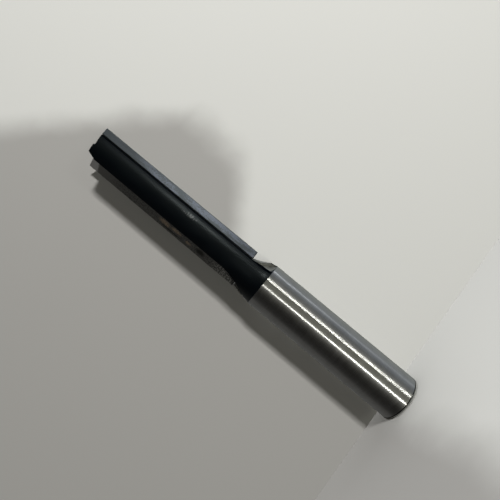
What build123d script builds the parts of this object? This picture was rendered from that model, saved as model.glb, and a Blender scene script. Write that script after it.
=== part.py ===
from build123d import *
from math import atan2, cos, degrees, radians, sin, sqrt, tan
import os

# Straight router bit with two gullets and two brazed carbide tips. Millimetres.
# The bit stands on its shank's end: +Z runs up its axis to the cutting end.
# The origin is the middle of the shank's end face. +X runs through the first tip's cutting edge.
# The bit cuts as it turns from +X towards +Y.

# Ground shank
shank_diameter = 12.0
shank_length = 43.8
shank_end_chamfer = 0.55

# Neck, between the ground shank and the rear of the tips
neck_length = 6.05
neck_flare_length = 3.6

# Carbide tips
cutting_diameter = 12.0
tip_length = 51.35
tip_width = 3.0
tip_thickness = 2.4
edge_relief_angle = 21.0
end_relief_angle = 23.0
tip_count = 2

# Steel behind and between the tips
land_clearance = 0.4
seat_edge_bevel = 0.4
end_face_recess = 0.9
end_slot_width = 4.8
end_slot_depth = 1.7

# Gullets in front of the tips
gullet_angle = 83.0
gullet_root_offset = 2.0
gullet_root_fillet = 1.2
gullet_runout_length = 11.0
gash_width = 0.9
gash_length = 2.5

# How far a cutter starts outside the steel
cutter_margin = 2.0

# Radii
shank_radius = shank_diameter / 2
cutting_radius = cutting_diameter / 2
land_radius = cutting_radius - land_clearance
seat_floor_offset = cutting_radius - tip_width
cutter_reach = max(shank_radius, cutting_radius) + cutter_margin

# Directions of the tips' cutting edges about the axis
edge_angles = [360 / tip_count * tip for tip in range(tip_count)]

# Stations along the axis, from the shank's end
collar_station = shank_length
tip_rear_station = collar_station + neck_length
tip_end_station = tip_rear_station + tip_length
end_face_station = tip_end_station - end_face_recess
slot_station = tip_end_station - end_slot_depth
gullet_runout_station = collar_station + gullet_runout_length
cutter_start_station = tip_end_station + cutter_margin

# The gullet's flat wall runs from the root out to the heel, where it meets the land
heel_offset = land_radius * cos(radians(gullet_angle))
heel_height = land_radius * sin(radians(gullet_angle))
wall_slope = (gullet_root_offset - heel_offset) / heel_height
wall_tilt = degrees(atan2(gullet_root_offset - heel_offset, heel_height))
wall_distance = gullet_root_offset * cos(radians(wall_tilt))
land_middle_angle = (gullet_angle - 360 / tip_count) / 2

# The seat's outer edge is bevelled at 45 degrees, from its back wall out to the land
bevel_offset = sqrt(land_radius**2 - (tip_thickness + seat_edge_bevel) ** 2) - seat_edge_bevel
bevel_reach = cutter_reach - bevel_offset

# The end relief falls away behind each cutting edge: (behind the rake face, along the tool)
end_relief_outline = [
    (0, tip_end_station),
    (0, cutter_start_station),
    (-cutter_reach, cutter_start_station),
    (-cutter_reach, tip_end_station - cutter_reach * tan(radians(end_relief_angle))),
]


def section_plane(angle):
    """Plane across the tool at the shank's end, with local x turned by an angle from the first edge."""
    return Plane.XY.rotated((0, 0, angle))


def axial_plane(angle):
    """Plane through the axis: local x runs up the tool, local y out from the axis at an angle."""
    return Plane(origin=(0, 0, 0), x_dir=(0, 0, 1), z_dir=section_plane(angle).y_dir)


def side_plane(angle):
    """Plane that faces out from the axis at an angle: local x in the cutting direction, local y up."""
    section = section_plane(angle)
    return Plane(origin=(0, 0, 0), x_dir=section.y_dir, z_dir=section.x_dir)


def runout_path(angle, floor_offset, runout_station):
    """Path of a cutter that runs straight down the tool, then curves out to the collar."""
    with BuildLine(axial_plane(angle)) as path:
        straight = Line((cutter_start_station, floor_offset), (runout_station, floor_offset))
        TangentArc(straight @ 1, (collar_station, shank_radius), tangent=straight % 1)
    return path.line


# Tool body: one steel bar, turned, then milled and ground
with BuildPart() as tool_body:
    with BuildSketch(axial_plane(land_middle_angle)):
        with BuildLine():
            Polyline(
                (collar_station, shank_radius),
                (shank_end_chamfer, shank_radius),
                (0, shank_radius - shank_end_chamfer),
                (0, 0),
                (end_face_station, 0),
                (end_face_station, land_radius),
                (collar_station + neck_flare_length, land_radius),
            )
            Bezier(
                (collar_station + neck_flare_length, land_radius),
                (collar_station + neck_flare_length / 3, land_radius),
                (collar_station, shank_radius),
            )
        make_face()
    revolve(axis=Axis.Z)

    # Slot across the end, between the tips
    with BuildSketch(section_plane(0).offset(slot_station)):
        Rectangle(end_slot_width, 2 * cutter_reach)
    extrude(amount=end_slot_depth + cutter_margin, mode=Mode.SUBTRACT)

    for edge_angle in edge_angles:
        # Gullet in front of the rake face, with a rounded root
        with BuildSketch(section_plane(edge_angle).offset(cutter_start_station)):
            Polygon(
                (gullet_root_offset, 0),
                (cutter_reach, 0),
                (cutter_reach, cutter_reach),
                (gullet_root_offset - wall_slope * cutter_reach, cutter_reach),
                align=None,
            )
            fillet(vertices().sort_by_distance((gullet_root_offset, 0))[0], gullet_root_fillet)
        sweep(path=runout_path(edge_angle, heel_offset, gullet_runout_station), mode=Mode.SUBTRACT)

        # Seat for the tip, with its outer edge bevelled
        with BuildSketch(section_plane(edge_angle).offset(cutter_start_station)):
            Polygon(
                (seat_floor_offset, gullet_root_fillet),
                (seat_floor_offset, -tip_thickness),
                (bevel_offset, -tip_thickness),
                (cutter_reach, -tip_thickness - bevel_reach),
                (cutter_reach, gullet_root_fillet),
                align=None,
            )
        sweep(path=runout_path(edge_angle, seat_floor_offset, tip_rear_station), mode=Mode.SUBTRACT)

        # End relief, ground over the wing behind its tip
        with BuildSketch(side_plane(edge_angle).offset(end_slot_width / 2)):
            Polygon(*end_relief_outline, align=None)
        extrude(amount=cutter_reach, mode=Mode.SUBTRACT)

        # Gash that opens the end of the gullet's wall
        with BuildSketch(side_plane(edge_angle + wall_tilt - 90)):
            Polygon(
                (wall_distance - gash_width, slot_station),
                (wall_distance, slot_station - gash_length),
                (cutter_reach, slot_station - gash_length),
                (cutter_reach, cutter_start_station),
                (wall_distance - gash_width, cutter_start_station),
                align=None,
            )
        extrude(amount=-cutter_reach, mode=Mode.SUBTRACT)
tool_body.part.label = "tool_body"

os.makedirs("parts", exist_ok=True)
export_step(tool_body.part, "parts/tool_body.step")

# Carbide tips: one strip on each wing, with its relief ground behind both cutting edges
for tip_number, edge_angle in enumerate(edge_angles, start=1):
    with BuildPart() as carbide_tip:
        with BuildSketch(section_plane(edge_angle).offset(tip_rear_station)):
            Polygon(
                (seat_floor_offset, 0),
                (seat_floor_offset, -tip_thickness),
                (cutting_radius - tip_thickness * tan(radians(edge_relief_angle)), -tip_thickness),
                (cutting_radius, 0),
                align=None,
            )
        extrude(amount=tip_length)
        with BuildSketch(side_plane(edge_angle)):
            Polygon(*end_relief_outline, align=None)
        extrude(amount=cutter_reach, mode=Mode.SUBTRACT)
    carbide_tip.part.label = f"carbide_tip_{tip_number}"
    export_step(carbide_tip.part, f"parts/{carbide_tip.part.label}.step")
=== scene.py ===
from math import cos, pi, radians, sin

import bpy
from mathutils import Matrix, Vector


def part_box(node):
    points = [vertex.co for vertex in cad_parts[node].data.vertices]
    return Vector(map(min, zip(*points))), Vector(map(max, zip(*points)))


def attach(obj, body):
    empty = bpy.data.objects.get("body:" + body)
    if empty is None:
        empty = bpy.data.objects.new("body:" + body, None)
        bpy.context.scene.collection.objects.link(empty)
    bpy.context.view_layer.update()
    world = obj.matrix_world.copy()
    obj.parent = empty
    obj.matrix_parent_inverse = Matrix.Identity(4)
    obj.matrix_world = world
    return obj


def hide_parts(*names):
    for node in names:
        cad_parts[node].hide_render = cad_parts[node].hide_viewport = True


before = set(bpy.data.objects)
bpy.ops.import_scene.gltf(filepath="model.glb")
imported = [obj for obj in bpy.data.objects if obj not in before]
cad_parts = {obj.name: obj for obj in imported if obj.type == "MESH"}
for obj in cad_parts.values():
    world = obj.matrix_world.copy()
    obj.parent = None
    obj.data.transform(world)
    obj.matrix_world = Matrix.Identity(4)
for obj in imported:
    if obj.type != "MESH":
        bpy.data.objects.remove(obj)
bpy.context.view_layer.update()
MM = 0.001

# ---------------------------------------------------------------- Sizes, in metres
# The bit stands on its shank's end, and +X runs through the first tip's cutting edge.
SHANK_RADIUS = 6.0 * MM
COLLAR = 43.8 * MM
NECK_FLARE = 3.6 * MM
LAND_RADIUS = 5.6 * MM
SEAT_WALL = 2.4 * MM
BEVEL_INNER = 4.45 * MM
TIP_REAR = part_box("carbide_tip_1")[0].z
TIP_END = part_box("carbide_tip_1")[1].z
MARGIN_WIDTH = 0.30 * MM

# ---------------------------------------------------------------- The stage's directions
# The paper backdrop stands behind the bit and all but touches its shank. In stage directions x
# runs along the paper, y into it and z up the bit. The first edge points this far out from x.
EDGE_TURN = radians(34.0)
TO_PART = Matrix.Rotation(EDGE_TURN, 4, "Z")


def stage_vector(x, y, z):
    """A vector given along the paper, into it and up the bit, in the part's own frame."""
    return TO_PART @ Vector((x, y, z))


ALONG_PAPER = stage_vector(1, 0, 0)
OUT_OF_PAPER = stage_vector(0, -1, 0)


# ---------------------------------------------------------------- Shader maths
class Sock:
    """A node's output that takes part in sums, products, powers and comparisons."""

    def __init__(self, tree, socket):
        self.tree = tree
        self.socket = socket

    def math(self, operation, other=None, swap=False):
        pair = (other, self) if swap else (self, other)
        values = {index: value for index, value in enumerate(pair) if value is not None}
        return self.tree.node("ShaderNodeMath", values, operation=operation)["Value"]

    def __add__(self, other):
        return self.math("ADD", other)

    def __sub__(self, other):
        return self.math("SUBTRACT", other)

    def __rsub__(self, other):
        return self.math("SUBTRACT", other, swap=True)

    def __mul__(self, other):
        return self.math("MULTIPLY", other)

    def __truediv__(self, other):
        return self.math("DIVIDE", other)

    def __rtruediv__(self, other):
        return self.math("DIVIDE", other, swap=True)

    def __pow__(self, other):
        return self.math("POWER", other)

    def __gt__(self, other):
        return self.math("GREATER_THAN", other)

    def __lt__(self, other):
        return self.math("LESS_THAN", other)

    def __abs__(self):
        return self.math("ABSOLUTE")

    __radd__ = __add__
    __rmul__ = __mul__


class Tree:
    """A node tree whose nodes are made one at a time."""

    def __init__(self, tree):
        self.nodes = tree.nodes
        self.links = tree.links
        self.nodes.clear()

    def node(self, kind, values=None, ramp=None, **settings):
        """Makes a node: its settings first, then its ramp's stops, then its sockets' values or links.

        Gives the node's outputs by name."""
        made = self.nodes.new(kind)
        for name, value in settings.items():
            setattr(made, name, value)
        if ramp:
            stops = made.color_ramp.elements
            while len(stops) < len(ramp):
                stops.new(1.0)
            for stop, (place, colour) in zip(stops, ramp):
                stop.position = place
                stop.color = (*colour, 1.0)
        for name, value in (values or {}).items():
            if isinstance(value, Sock):
                self.links.new(value.socket, made.inputs[name])
            elif made.inputs[name].type == "RGBA":
                made.inputs[name].default_value = (*value, 1.0)
            else:
                made.inputs[name].default_value = value
        return {socket.name: Sock(self, socket) for socket in made.outputs if socket.enabled}


class Shader(Tree):
    """The node tree of a material or a world."""

    def __init__(self, owner):
        self.owner = owner
        owner.use_nodes = True
        super().__init__(owner.node_tree)

    def material(self, surface):
        """Ends the tree with its surface, and gives the material that it belongs to."""
        self.node("ShaderNodeOutputMaterial", {"Surface": surface})
        return self.owner


def new_material(name):
    return Shader(bpy.data.materials.new(name))


# ---------------------------------------------------------------- Nodes by what they do
# Inputs that share a name with others of their node go by number.
FIRST_COLOUR = 6
SECOND_COLOUR = 7
FIRST_SURFACE = 1
SECOND_SURFACE = 2
RISING = (0.0, 1.0)
FALLING = (1.0, 0.0)


def split(tree, vector):
    """The x, y and z of a vector."""
    parts = tree.node("ShaderNodeSeparateXYZ", {"Vector": vector})
    return parts["X"], parts["Y"], parts["Z"]


def joined(tree, parts):
    """A vector from those of its x, y and z that are given."""
    return tree.node("ShaderNodeCombineXYZ", parts)["Vector"]


def object_place(shader):
    """Object coordinates, in metres."""
    return shader.node("ShaderNodeTexCoord")["Object"]


def scaled(shader, vector, factor):
    values = {0: vector, "Scale": factor}
    return shader.node("ShaderNodeVectorMath", values, operation="SCALE")["Vector"]


def dot(shader, vector, direction):
    values = {0: vector, 1: tuple(direction)}
    return shader.node("ShaderNodeVectorMath", values, operation="DOT_PRODUCT")["Value"]


def noise(shader, place, pattern):
    """A noise: its marks in a unit of length along x, y and z, its detail and its roughness."""
    marks, detail, roughness = pattern
    spread = shader.node("ShaderNodeVectorMath", {0: place, 1: marks}, operation="MULTIPLY")["Vector"]
    return shader.node("ShaderNodeTexNoise", {
        "Vector": spread, "Scale": 1.0, "Detail": detail, "Roughness": roughness})["Fac"]


def centred_noise(shader, place, pattern):
    """A noise that swings either way about zero."""
    return noise(shader, place, pattern) - 0.5


def between(shader, value, limits, ends=RISING):
    """A soft step from the first end, at the lower limit, to the second end, at the upper limit."""
    return shader.node("ShaderNodeMapRange", {
        "Value": value, "From Min": limits[0], "From Max": limits[1],
        "To Min": ends[0], "To Max": ends[1]}, interpolation_type="SMOOTHSTEP")["Result"]


def shared(first, second, share):
    """A sum of two values, in which the first has the given share."""
    return first * share + second * (1.0 - share)


def distance(first, second):
    """How far from the middle a place is, from its distances in two directions."""
    return (first * first + second * second) ** 0.5


def highest(first, *others):
    """The highest of several values."""
    for other in others:
        first = first.math("MAXIMUM", other)
    return first


def mixed(shader, factor, first, second):
    """One colour where the factor is 0, and another where it is 1."""
    values = {"Factor": factor, FIRST_COLOUR: first, SECOND_COLOUR: second}
    return shader.node("ShaderNodeMix", values, data_type="RGBA")["Result"]


def covered(shader, factor, under, over):
    """One surface where the factor is 0, and another where it is 1."""
    values = {"Fac": factor, FIRST_SURFACE: under, SECOND_SURFACE: over}
    return shader.node("ShaderNodeMixShader", values)["Shader"]


def finish(shader, values):
    return shader.node("ShaderNodeBsdfPrincipled", values)["BSDF"]


def bump(shader, height, relief):
    """Relief on a surface, from a height, a strength and a depth in metres."""
    strength, depth = relief
    values = {"Height": height, "Strength": strength, "Distance": depth}
    return shader.node("ShaderNodeBump", values)["Normal"]


# ---------------------------------------------------------------- Camera
CAMERA_PLACE = stage_vector(-12.3 * MM, -95.9 * MM, 43.94 * MM)
CAMERA_RIGHT = stage_vector(0.6385, -0.049, -0.768).normalized()
CAMERA_AIM = stage_vector(0.1747, 0.981, 0.083).normalized()
CAMERA_LENS = 27.04
CAMERA_SENSOR = 36.0
CAMERA_NEAREST = 1 * MM
CAMERA_FARTHEST = 50.0


def add_camera():
    data = bpy.data.cameras.new("camera")
    data.lens = CAMERA_LENS
    data.sensor_width = CAMERA_SENSOR
    data.clip_start = CAMERA_NEAREST
    data.clip_end = CAMERA_FARTHEST
    camera = bpy.data.objects.new("camera", data)
    bpy.context.collection.objects.link(camera)
    up = CAMERA_RIGHT.cross(CAMERA_AIM)
    right = CAMERA_AIM.cross(up)
    turn = Matrix((right, up, -CAMERA_AIM)).transposed().to_4x4()
    camera.matrix_world = Matrix.Translation(CAMERA_PLACE) @ turn
    bpy.context.scene.camera = camera


# ---------------------------------------------------------------- Stage
SHEET_SIZE = 1.0
SHEET_GAP = 0.02 * MM

# The sheets fade out between two distances from a point on the tool's axis
FADE_MIDDLE = (0.0, 0.0, 0.045)
WALL_FADE = (0.12, 0.27)
FLOOR_FADE = (0.075, 0.17)

# The paper is in shade on its left. The edge of the shade swells to the right beside the head,
# and leans back to the left above it.
PAPER_PALE = (0.434, 0.432, 0.413)
PAPER_SHADED = (0.250, 0.244, 0.232)
WALL_LEVEL = 1.0
FLOOR_LEVEL = 1.08
SHADE_EDGE = (-5 * MM, 9 * MM)
SHADE_SWELL = 28 * MM
SWELL_HEIGHTS = (46 * MM, 76 * MM)
SHADE_CORNER = 92 * MM
SHADE_MOTTLE = ((60.0, 60.0, 60.0), 3.0, 0.5)
MOTTLE_REACH = 9 * MM


def paper_material(name, level, fading):
    """Matt paper that is seen from its front only, paler to one side, and fades into the background."""
    shader = new_material(name)
    place = object_place(shader)
    height = split(shader, place)[2]
    swell = between(shader, height, SWELL_HEIGHTS, (0.0, SHADE_SWELL))
    above = highest(height - SHADE_CORNER, 0.0)
    mottle = noise(shader, place, SHADE_MOTTLE) * MOTTLE_REACH
    along = dot(shader, place, ALONG_PAPER) - swell + above + mottle
    tone = mixed(shader, between(shader, along, SHADE_EDGE), PAPER_SHADED, PAPER_PALE)
    sheet = finish(shader, {
        "Base Color": scaled(shader, tone, level), "Roughness": 0.85, "Specular IOR Level": 0.0})

    from_middle = {0: place, 1: FADE_MIDDLE}
    reach = shader.node("ShaderNodeVectorMath", from_middle, operation="DISTANCE")["Value"]
    behind = shader.node("ShaderNodeNewGeometry")["Backfacing"]
    hidden = highest(between(shader, reach, fading), behind)
    clear = shader.node("ShaderNodeBsdfTransparent")["BSDF"]
    return shader.material(covered(shader, hidden, sheet, clear))


def add_sheet(name, corners, material):
    """A flat stage sheet that only the camera sees. It takes the bit's shadow and throws no light back."""
    mesh = bpy.data.meshes.new(name)
    mesh.from_pydata([tuple(corner) for corner in corners], [], [(0, 1, 2, 3)])
    mesh.materials.append(material)
    sheet = bpy.data.objects.new(name, mesh)
    bpy.context.collection.objects.link(sheet)
    sheet.visible_diffuse = False
    sheet.visible_glossy = False
    sheet.visible_transmission = False
    sheet.visible_shadow = False


def add_stage():
    wall = SHANK_RADIUS + SHEET_GAP
    add_sheet("backdrop", (
        stage_vector(-SHEET_SIZE, wall, 0),
        stage_vector(SHEET_SIZE, wall, 0),
        stage_vector(SHEET_SIZE, wall, SHEET_SIZE),
        stage_vector(-SHEET_SIZE, wall, SHEET_SIZE),
    ), paper_material("paper", WALL_LEVEL, WALL_FADE))
    add_sheet("floor", (
        (-SHEET_SIZE, -SHEET_SIZE, -SHEET_GAP),
        (SHEET_SIZE, -SHEET_SIZE, -SHEET_GAP),
        (SHEET_SIZE, SHEET_SIZE, -SHEET_GAP),
        (-SHEET_SIZE, SHEET_SIZE, -SHEET_GAP),
    ), paper_material("floor_paper", FLOOR_LEVEL, FLOOR_FADE))


# ---------------------------------------------------------------- Light
# The room round the bit, as its ground steel mirrors it: degrees round from square out of the
# paper, towards the first tip, and the colour there. One side is pale and the other is in shade.
ROOM = (
    (-180, (0.130, 0.130, 0.125)),
    (-150, (0.125, 0.125, 0.120)),
    (-106, (0.098, 0.096, 0.092)),
    (-95, (0.042, 0.041, 0.039)),
    (-84, (0.026, 0.025, 0.024)),
    (-60, (0.014, 0.013, 0.012)),
    (-42, (0.014, 0.013, 0.012)),
    (-28, (0.017, 0.0155, 0.013)),
    (-16, (0.055, 0.053, 0.045)),
    (5, (0.110, 0.111, 0.084)),
    (22, (0.129, 0.129, 0.102)),
    (42, (0.165, 0.165, 0.150)),
    (52, (0.105, 0.110, 0.112)),
    (60, (0.115, 0.122, 0.135)),
    (72, (0.225, 0.245, 0.270)),
    (96, (0.310, 0.330, 0.345)),
    (121, (0.320, 0.340, 0.330)),
    (150, (0.310, 0.325, 0.300)),
    (180, (0.260, 0.270, 0.250)),
)
BACKGROUND = (0.64, 0.64, 0.61)

# Upright lamps round the bit, in metres and watts. Azimuth 0 is square out from the paper, and low
# and high are a lamp's two ends. A lamp that is not mirrored lights matt surfaces only, and one
# that is not matt lights mirroring ones only.
LAMP_DISTANCE = 0.5
WHITE = (1.0, 1.0, 1.0)
WARM_WHITE = (1.0, 1.0, 0.93)
COOL_WHITE = (0.90, 0.95, 1.0)
LAMPS = (
    {"name": "lamp_key", "azimuth": 31.0, "low": 0.167, "high": 0.227, "width": 0.066,
     "power": 3.2, "mirrored": False},
    {"name": "lamp_right", "azimuth": 33.1, "low": 0.17, "high": 0.21, "width": 0.010,
     "power": 0.30, "colour": WARM_WHITE},
    {"name": "lamp_right_low", "azimuth": 33.1, "low": -0.24, "high": -0.08, "width": 0.010,
     "power": 0.22, "colour": WARM_WHITE},
    {"name": "lamp_front", "azimuth": -9.0, "low": -0.30, "high": -0.12, "width": 0.012,
     "power": 0.73, "colour": WARM_WHITE},
    {"name": "lamp_side", "azimuth": 86.0, "low": 0.14, "high": 0.30, "width": 0.030,
     "power": 0.19, "colour": COOL_WHITE},
    {"name": "lamp_back", "azimuth": 176.0, "low": 0.00, "high": 0.30, "width": 0.05,
     "power": 0.4, "matt": False},
)
ABOVE_HEIGHT = 0.6
ABOVE_SIZE = 0.2
ABOVE_POWER = 2.5


def add_world():
    """A plain background for the camera, and the room for the light on the bit and in its metal."""
    world = bpy.data.worlds.new("room")
    bpy.context.scene.world = world
    shader = Shader(world)
    look = shader.node("ShaderNodeTexCoord")["Generated"]
    azimuth = dot(shader, look, ALONG_PAPER).math("ARCTAN2", dot(shader, look, OUT_OF_PAPER))

    # The ramp runs once round, from -180 degrees at 0 to 180 degrees at 1
    stops = [(degrees / 360 + 0.5, colour) for degrees, colour in ROOM]
    room = shader.node("ShaderNodeValToRGB", {"Fac": azimuth / (2 * pi) + 0.5}, ramp=stops)["Color"]
    to_camera = shader.node("ShaderNodeLightPath")["Is Camera Ray"]
    colour = mixed(shader, to_camera, room, BACKGROUND)
    background = shader.node("ShaderNodeBackground", {"Color": colour})["Background"]
    shader.node("ShaderNodeOutputWorld", {"Surface": background})


def add_lamp(name, place, width, height, power, colour=WHITE, mirrored=True, matt=True):
    """A soft lamp at a place that is given as its matrix."""
    data = bpy.data.lights.new(name, "AREA")
    data.shape = "RECTANGLE"
    data.size = width
    data.size_y = height
    data.energy = power
    data.color = colour
    lamp = bpy.data.objects.new(name, data)
    bpy.context.collection.objects.link(lamp)
    lamp.matrix_world = place
    lamp.visible_glossy = mirrored
    lamp.visible_diffuse = matt


def add_upright_lamp(name, azimuth, low, high, **looks):
    """A lamp that faces the bit's axis from its azimuth, between two heights."""
    out = stage_vector(sin(radians(azimuth)), -cos(radians(azimuth)), 0)
    place = out * LAMP_DISTANCE + Vector((0, 0, (low + high) / 2))
    turn = out.to_track_quat("Z", "Y").to_matrix().to_4x4()
    add_lamp(name, Matrix.Translation(place) @ turn, height=high - low, **looks)


def add_light():
    add_world()
    for lamp in LAMPS:
        add_upright_lamp(**lamp)
    above = Matrix.Translation((0, 0, ABOVE_HEIGHT))
    add_lamp("lamp_above", above, ABOVE_SIZE, ABOVE_SIZE, ABOVE_POWER, mirrored=False)


# ---------------------------------------------------------------- Finishes
# Materials measure in millimetres, in the part's own frame. A noise pattern is its marks in a
# millimetre along x, y and z, its detail and its roughness. A relief is a strength and a depth.
NOISE_MIDDLE = (0.35, 0.65)
NOISE_BROAD = (0.3, 0.7)
SPOT_FADE = (0.35, 1.0)


def position(shader):
    """The place in millimetres: the vector, then its x, y and z."""
    place = scaled(shader, object_place(shader), 1 / MM)
    return (place, *split(shader, place))


def spot(shader, across, along):
    """A soft round mask about zero, which is gone where its two distances reach one."""
    return between(shader, distance(across, along), SPOT_FADE, FALLING)


# Ground steel
# Painted shade: the shank's lowest 0.8 mm, over its end chamfer and a little above, is painted near black
SHANK_END_SHADE_HEIGHT = 0.8
SHANK_END_PAINTED_SHADE = (0.06, 0.055, 0.05)
GROUND_DARK = (0.46, 0.46, 0.45)
GROUND_LIGHT = (0.54, 0.54, 0.53)
GRINDING_RINGS = ((0.30, 0.30, 7.0), 3.0, 0.6)
GRINDING_BANDS = ((0.10, 0.10, 0.6), 2.0, 0.5)
GRINDING_PATCHES = ((0.35, 0.35, 0.35), 3.0, 0.5)
GRINDING_RELIEF = (0.05, 0.0006 * MM)
RING_SHARE = 0.6
FINE_ROUGHNESS = (0.28, 0.33)
HAZY_ROUGHNESS = (0.50, 0.60)
HAZE_SHARE = (0.20, 0.40)
GLEAM_TURN = 0.25


def ground_steel(shader, place, z):
    """The shank: grinding marks run round it, and spread a lamp's gleam along it. Its end carries painted
    shade.
    """
    rings = noise(shader, place, GRINDING_RINGS)
    bands = noise(shader, place, GRINDING_BANDS)
    patches = noise(shader, place, GRINDING_PATCHES)
    tone = between(shader, shared(rings, patches, RING_SHARE), NOISE_MIDDLE)
    colour = mixed(shader, tone, GROUND_DARK, GROUND_LIGHT)
    # painted shade at the shank's end
    colour = mixed(shader, z < SHANK_END_SHADE_HEIGHT, colour, SHANK_END_PAINTED_SHADE)
    relief = bump(shader, rings, GRINDING_RELIEF)
    fine = finish(shader, {
        "Base Color": colour, "Metallic": 1.0, "Normal": relief,
        "Roughness": between(shader, bands, NOISE_MIDDLE, FINE_ROUGHNESS),
        "Anisotropic": 1.0, "Anisotropic Rotation": GLEAM_TURN})
    hazy = finish(shader, {
        "Base Color": colour, "Metallic": 1.0, "Normal": relief,
        "Roughness": between(shader, rings, NOISE_MIDDLE, HAZY_ROUGHNESS),
        "Anisotropic": 0.6, "Anisotropic Rotation": GLEAM_TURN})
    haze = between(shader, shared(rings, bands, RING_SHARE), NOISE_BROAD, HAZE_SHARE)
    return covered(shader, haze, fine, hazy)


# Milled steel
MILLED_DARK = (0.44, 0.44, 0.42)
MILLED_LIGHT = (0.56, 0.56, 0.53)
MILLING_MARKS = ((6.0, 6.0, 0.8), 3.0, 0.5)
MILLED_ROUGHNESS = (0.50, 0.62)


def milled_steel(shader, place):
    """The bare run-outs of the gullets, with the cutter's marks up them."""
    marks = noise(shader, place, MILLING_MARKS)
    return finish(shader, {
        "Base Color": mixed(shader, marks, MILLED_DARK, MILLED_LIGHT), "Metallic": 1.0,
        "Roughness": between(shader, marks, NOISE_BROAD, MILLED_ROUGHNESS)})


# Black paint
PAINT_DARK = (0.0006, 0.0010, 0.0016)
PAINT_LIGHT = (0.0014, 0.0020, 0.0026)
PAINT_SHEEN = (0.84, 0.95, 1.0)
PAINT_CLOUDS = ((0.5, 0.5, 0.175), 3.0, 0.5)
PAINT_ROUGHNESS = (0.31, 0.37)
ORANGE_PEEL = ((2.2, 2.2, 2.2), 3.0, 0.5)
PEEL_RELIEF = (0.2, 0.02 * MM)
SCUFF_COLOUR = (0.07, 0.072, 0.07)
SCUFF_SCRATCHES = ((0.3, 0.9, 2.6), 1.0, 0.5)
SCRATCH_LEVELS = (0.50, 0.60)
SCUFF_ANGLE = -47.0
SCUFF_SPREAD = 7.5
SCUFF_HEIGHT = 68.7
SCUFF_LENGTH = 3.6

# The joint's painted shade lies between two distances from the plane of the edges, outside the bevel
JOINT_NEAR = SEAT_WALL / MM + 0.06
JOINT_FAR = SEAT_WALL / MM + 0.68
JOINT_INNER = BEVEL_INNER / MM - 0.05


def black_paint(shader, place, x, y, z):
    """Satin paint, rubbed in one place on the first wing's land, with painted shade along the tips'
    joints.
    """
    clouds = noise(shader, place, PAINT_CLOUDS)
    angle = y.math("ARCTAN2", x) * (180 / pi)
    rubbed = spot(shader, (angle - SCUFF_ANGLE) / SCUFF_SPREAD, (z - SCUFF_HEIGHT) / SCUFF_LENGTH)
    scuffs = rubbed * between(shader, noise(shader, place, SCUFF_SCRATCHES), SCRATCH_LEVELS)
    colour = mixed(shader, scuffs, mixed(shader, clouds, PAINT_DARK, PAINT_LIGHT), SCUFF_COLOUR)
    satin = finish(shader, {
        "Base Color": colour, "Roughness": between(shader, clouds, NOISE_BROAD, PAINT_ROUGHNESS),
        "Specular IOR Level": 0.31, "Specular Tint": PAINT_SHEEN,
        "Normal": bump(shader, noise(shader, place, ORANGE_PEEL), PEEL_RELIEF)})
    # Painted shade: a flat black that mirrors nothing, in the groove beside each tip's back
    joint_painted_shade = finish(shader, {"Base Color": PAINT_DARK, "Roughness": 0.8, "Specular IOR Level": 0.0})
    behind_tips = x * y < 0.0
    joint = behind_tips * (abs(y) > JOINT_NEAR) * (abs(y) < JOINT_FAR) * (abs(x) > JOINT_INNER)
    return covered(shader, joint, satin, joint_painted_shade)


# The cuts are bare below the tips, with an edge like overspray that wanders in the gullets
CUT_DEPTH = 0.07
GULLET_FADE = (3.8, 5.2)
OVERSPRAY = ((0.45, 0.45, 0.45), 2.0, 0.5)
OVERSPRAY_REACH = 2.0
OVERSPRAY_LOW = TIP_REAR / MM - 0.5
OVERSPRAY_HIGH = TIP_REAR / MM - 0.1
GULLET_SOFTNESS = 2.2


def cut_mask(shader, z, radius):
    """Where the body is cut below its turned surface.

    The neck flares in a quadratic curve, whose own measure falls from 1 at the collar to 0."""
    rise = shader.node("ShaderNodeMapRange", {
        "Value": z, "From Min": COLLAR / MM, "From Max": (COLLAR + NECK_FLARE) / MM})["Result"]
    fall = 2.0 - (rise * 3.0 + 1.0) ** 0.5
    turned_radius = fall * fall * ((SHANK_RADIUS - LAND_RADIUS) / MM) + LAND_RADIUS / MM
    return (turned_radius - CUT_DEPTH) > radius


def bare_mask(shader, place, z, radius):
    """Where a cut has no paint on it."""
    in_gullet = between(shader, radius, GULLET_FADE, FALLING)
    wander = in_gullet * centred_noise(shader, place, OVERSPRAY) * OVERSPRAY_REACH
    limits = (OVERSPRAY_LOW - in_gullet * GULLET_SOFTNESS, OVERSPRAY_HIGH)
    return between(shader, z + wander, limits, FALLING)


def steel_finish():
    """Ground shank, bare run-outs and black head, parted by the body's own form."""
    shader = new_material("tool_steel")
    place, x, y, z = position(shader)
    radius = distance(x, y)
    cut = cut_mask(shader, z, radius)
    steel = covered(shader, cut, ground_steel(shader, place, z), milled_steel(shader, place))
    painted = (z > COLLAR / MM) * (1.0 - cut * bare_mask(shader, place, z, radius))
    return shader.material(covered(shader, painted, steel, black_paint(shader, place, x, y, z)))


# Ground carbide
CARBIDE_BLUE = (0.245, 0.260, 0.288)
CARBIDE_GREY = (0.142, 0.153, 0.152)
CARBIDE_EDGE = (0.170, 0.178, 0.172)
CARBIDE_GRAIN = ((2.4, 2.4, 2.4), 4.0, 0.6)
CARBIDE_CLOUDS = ((0.5, 0.5, 0.16), 3.0, 0.6)
CARBIDE_LINES = ((9.0, 9.0, 0.5), 2.0, 0.5)
CARBIDE_WANDER = ((1.3, 1.3, 1.3), 3.0, 0.6)
CARBIDE_ROUGHNESS = (0.36, 0.46)
CARBIDE_RELIEF = (0.2, 0.003 * MM)
CLOUD_SHARE = 0.6
CLOUD_LEVELS = (0.43, 0.57)
LINE_SHARE = 0.5

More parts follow.
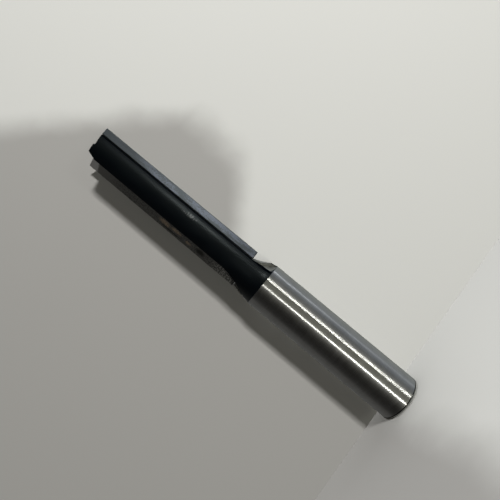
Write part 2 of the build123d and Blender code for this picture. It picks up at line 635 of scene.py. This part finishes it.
# Heights between which a tip's tone changes, and how far the edge of the change wanders
GREENER_SHADED_HEIGHTS = (82.0, 93.0)
GREENER_SHADED_TONE = (1.0, 0.2)
GREENER_SHADED_WANDER = 6.0
PALER_END_HEIGHTS = (88.0, 99.0)
PALER_END_WANDER = 4.0
WORN_HEIGHTS = (54.0, 60.0)
WORN_WANDER = 6.0
WORN_LEVELS = (0.45, 0.58)

# Rake faces and rear ends
RAKE_GREY = (0.120, 0.118, 0.114)
RAKE_SHADE = 0.45
RAKE_BROWN = (0.290, 0.225, 0.165)
RAKE_DARK = (0.012, 0.011, 0.010)
RAKE_PALE = (0.130, 0.128, 0.124)
RAKE_WORN = (0.260, 0.255, 0.245)
# The rear ends' near black is painted shade
REAR_FACE_PAINTED_SHADE = (0.030, 0.031, 0.030)
RAKE_DEPTH = 0.02
REAR_FACE_DEPTH = 0.03
BROWN_THINNEST = 0.4
DARK_STRENGTH = 0.9
DULL_ROUGHNESS = 0.12
DULL_COVER = 0.75

# Marks on the second tip's rake face: x, z, half width, half length
BROWN_STAINS = ((-4.5, 74.5, 0.8, 2.6), (-4.4, 70.5, 0.6, 2.4), (-4.9, 66.0, 0.5, 1.4))
DARK_STAINS = (
    (-4.65, 62.0, 0.9, 2.0), (-5.1, 58.5, 0.25, 0.4),
    (-5.5, 49.9, 0.6, 0.7), (-5.4, 72.0, 0.25, 5.0))
BROWN_WANDER = (1.0, 2.0)
DARK_WANDER = (0.5, 1.0)


def stains(shader, x, z, marks, wander, reach):
    """Soft spots whose edges wander, by a reach that is given across the tip and along it."""
    across, along = reach
    return highest(*(
        spot(shader, (x - at_x + wander * across) / wide, (z - at_z + wander * along) / long)
        for at_x, at_z, wide, long in marks))


def relief_colour(shader, y, z, clouds, grain, wander):
    """Blue-grey relief faces, greener and darker towards the end, where the darkening is painted shade,
    with a darker margin along the edge.
    """
    tone = between(shader, shared(clouds, grain, CLOUD_SHARE), CLOUD_LEVELS)
    # a greener tone and painted shade towards the tip's end
    greener_and_shaded = between(shader, z + wander * GREENER_SHADED_WANDER, GREENER_SHADED_HEIGHTS, GREENER_SHADED_TONE)
    ground = mixed(shader, tone * greener_and_shaded, CARBIDE_GREY, CARBIDE_BLUE)
    return mixed(shader, abs(y) < MARGIN_WIDTH / MM, ground, CARBIDE_EDGE)


def rake_colour(shader, x, z, grain, wander):
    """Rake faces that resin has dulled, paler towards the end. The second one is also worn at its rear,
    and stained.
    """
    mottle = between(shader, grain, NOISE_MIDDLE)
    paler_near_end = between(shader, z + wander * PALER_END_WANDER, PALER_END_HEIGHTS)
    worn = between(shader, z + wander * WORN_WANDER, WORN_HEIGHTS, FALLING)
    worn = worn * between(shader, grain, WORN_LEVELS)
    brown = stains(shader, x, z, BROWN_STAINS, wander, BROWN_WANDER)
    brown = brown * (mottle * (1.0 - BROWN_THINNEST) + BROWN_THINNEST)
    dark = stains(shader, x, z, DARK_STAINS, wander, DARK_WANDER)
    second = x < 0.0
    colour = mixed(shader, mottle, tuple(RAKE_SHADE * part for part in RAKE_GREY), RAKE_GREY)
    colour = mixed(shader, paler_near_end, colour, RAKE_PALE)
    colour = mixed(shader, worn * second, colour, RAKE_WORN)
    colour = mixed(shader, brown * second, colour, RAKE_BROWN)
    return mixed(shader, dark * second * DARK_STRENGTH, colour, RAKE_DARK)


def carbide_finish():
    """Fine ground carbide, dull on its rake faces, with painted shade on its rear ends."""
    shader = new_material("carbide")
    place, x, y, z = position(shader)
    grain = noise(shader, place, CARBIDE_GRAIN)
    clouds = noise(shader, place, CARBIDE_CLOUDS)
    lines = noise(shader, place, CARBIDE_LINES)
    wander = centred_noise(shader, place, CARBIDE_WANDER)

    on_rake = abs(y) < RAKE_DEPTH
    # Painted shade: the rear ends are painted near black and barely mirror
    rear_shade_mask = z < TIP_REAR / MM + REAR_FACE_DEPTH
    dull_and_shaded = highest(on_rake, rear_shade_mask)
    relief = relief_colour(shader, y, z, clouds, grain, wander)
    colour = mixed(shader, on_rake, relief, rake_colour(shader, x, z, grain, wander))
    colour = mixed(shader, rear_shade_mask, colour, REAR_FACE_PAINTED_SHADE)
    rough = between(shader, shared(grain, lines, LINE_SHARE), NOISE_MIDDLE, CARBIDE_ROUGHNESS)
    return shader.material(finish(shader, {
        "Base Color": colour, "Metallic": 1.0 - dull_and_shaded * DULL_COVER,
        "Roughness": rough + dull_and_shaded * DULL_ROUGHNESS,
        "Normal": bump(shader, lines + grain, CARBIDE_RELIEF)}))


# ---------------------------------------------------------------- Carbide strips
STRIP_SIZES = {
    "Rear": TIP_REAR,
    "End": TIP_END,
    "Inner Radius": 3.0 * MM,
    "Edge Radius": 6.0 * MM,
    "Thickness": 2.4 * MM,
    "Relief Angle": radians(21.0),
    "End Relief Angle": radians(23.0),
    "Margin Width": MARGIN_WIDTH,
    "Margin Angle": radians(11.0),
    "Nick Depth": 0.05 * MM,
    "Seed": 7.0,
    "Turn": 0.0,
}
STRIP_RINGS = 200
BLANK_RADIUS = 1 * MM
NICK_PATTERN = {"Scale": 1.4, "Detail": 3.0, "Roughness": 0.7}
NICK_LEVEL = 0.56
NICK_GAIN = 8.0


def strip_tree(material):
    """A strip of one section: ground to an edge, relieved behind it and finely nicked along it."""
    group = bpy.data.node_groups.new("carbide_strip", "GeometryNodeTree")
    for name, value in STRIP_SIZES.items():
        socket = group.interface.new_socket(name=name, in_out="INPUT", socket_type="NodeSocketFloat")
        socket.default_value = value
    group.interface.new_socket(name="Geometry", in_out="OUTPUT", socket_type="NodeSocketGeometry")
    tree = Tree(group)
    size = tree.node("NodeGroupInput")

    # The section's corners, from the root of the rake face round to the cutting edge
    back = size["Thickness"] * -1.0
    margin_reach = size["Edge Radius"] - size["Margin Width"] * size["Margin Angle"].math("TANGENT")
    back_reach = size["Edge Radius"] - size["Thickness"] * size["Relief Angle"].math("TANGENT")
    corners = (
        (size["Inner Radius"], 0.0),
        (size["Inner Radius"], back),
        (back_reach, back),
        (margin_reach, size["Margin Width"] * -1.0),
        (size["Edge Radius"], 0.0),
    )

    # A blank with as many sides as the section has corners, whose points all move below
    rail = tree.node("GeometryNodeCurvePrimitiveLine", {
        "Start": joined(tree, {"Z": size["Rear"]}), "End": joined(tree, {"Z": size["End"]})})["Curve"]
    rail = tree.node("GeometryNodeResampleCurve", {"Curve": rail, "Count": STRIP_RINGS})["Curve"]
    outline = tree.node("GeometryNodeCurvePrimitiveCircle", {
        "Resolution": len(corners), "Radius": BLANK_RADIUS})["Curve"]
    strip = tree.node("GeometryNodeCurveToMesh", {
        "Curve": rail, "Profile Curve": outline, "Fill Caps": True})["Mesh"]

    # Each point takes the corner of its number, and the end falls away behind the edge
    corner = tree.node("GeometryNodeInputIndex")["Index"].math("MODULO", float(len(corners)))
    height = split(tree, tree.node("GeometryNodeInputPosition")["Position"])[2]
    out, behind = corners[0]
    for number in range(1, len(corners)):
        reached = corner > number - 0.5
        out = out + reached * (corners[number][0] - corners[number - 1][0])
        behind = reached * (corners[number][1] - corners[number - 1][1]) + behind
    full_length = size["End"] - size["Rear"]
    own_length = full_length + behind * size["End Relief Angle"].math("TANGENT")
    risen = size["Rear"] + (height - size["Rear"]) / full_length * own_length

    # Small nicks in the cutting edge, which is the last corner
    along = joined(tree, {"X": size["Seed"] + size["Turn"], "Z": height / MM})
    chips = tree.node("ShaderNodeTexNoise", {"Vector": along, **NICK_PATTERN})["Fac"]
    chips = highest(chips - NICK_LEVEL, 0.0) * NICK_GAIN
    on_edge = corner > len(corners) - 1.5
    out = out - on_edge * chips * size["Nick Depth"]

    # The strip turns round the axis to its own wing
    cosine = size["Turn"].math("COSINE")
    sine = size["Turn"].math("SINE")
    turned = joined(tree, {
        "X": out * cosine - behind * sine, "Y": out * sine + behind * cosine, "Z": risen})
    strip = tree.node("GeometryNodeSetPosition", {"Geometry": strip, "Position": turned})["Geometry"]
    strip = tree.node("GeometryNodeSetShadeSmooth", {"Geometry": strip, "Shade Smooth": False})["Geometry"]
    strip = tree.node("GeometryNodeRealizeInstances", {"Geometry": strip})["Geometry"]
    strip = tree.node("GeometryNodeSetMaterial", {"Geometry": strip, "Material": material})["Geometry"]
    tree.node("NodeGroupOutput", {"Geometry": strip})
    return group


def add_strips(material):
    group = strip_tree(material)
    inputs = {item.name: item.identifier for item in group.interface.items_tree if item.in_out == "INPUT"}
    for number, turn in ((1, 0.0), (2, pi)):
        blank = bpy.data.meshes.new("strip_blank")
        strip = bpy.data.objects.new(f"carbide_strip_{number}", blank)
        bpy.context.collection.objects.link(strip)
        modifier = strip.modifiers.new("strip", "NODES")
        modifier.node_group = group
        for name, value in STRIP_SIZES.items():
            modifier[inputs[name]] = value
        modifier[inputs["Turn"]] = turn
        graph = bpy.context.evaluated_depsgraph_get()
        baked = bpy.data.meshes.new_from_object(strip.evaluated_get(graph))
        strip.modifiers.clear()
        strip.data = baked
        bpy.data.meshes.remove(blank)
        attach(strip, "root")
        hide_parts(f"carbide_tip_{number}")


def dress():
    carbide = carbide_finish()
    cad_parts["tool_body"].material_slots[0].material = steel_finish()
    for number in (1, 2):
        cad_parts[f"carbide_tip_{number}"].material_slots[0].material = carbide
    add_strips(carbide)


add_camera()
add_stage()
add_light()
dress()

bpy.context.scene.view_settings.view_transform = "Standard"
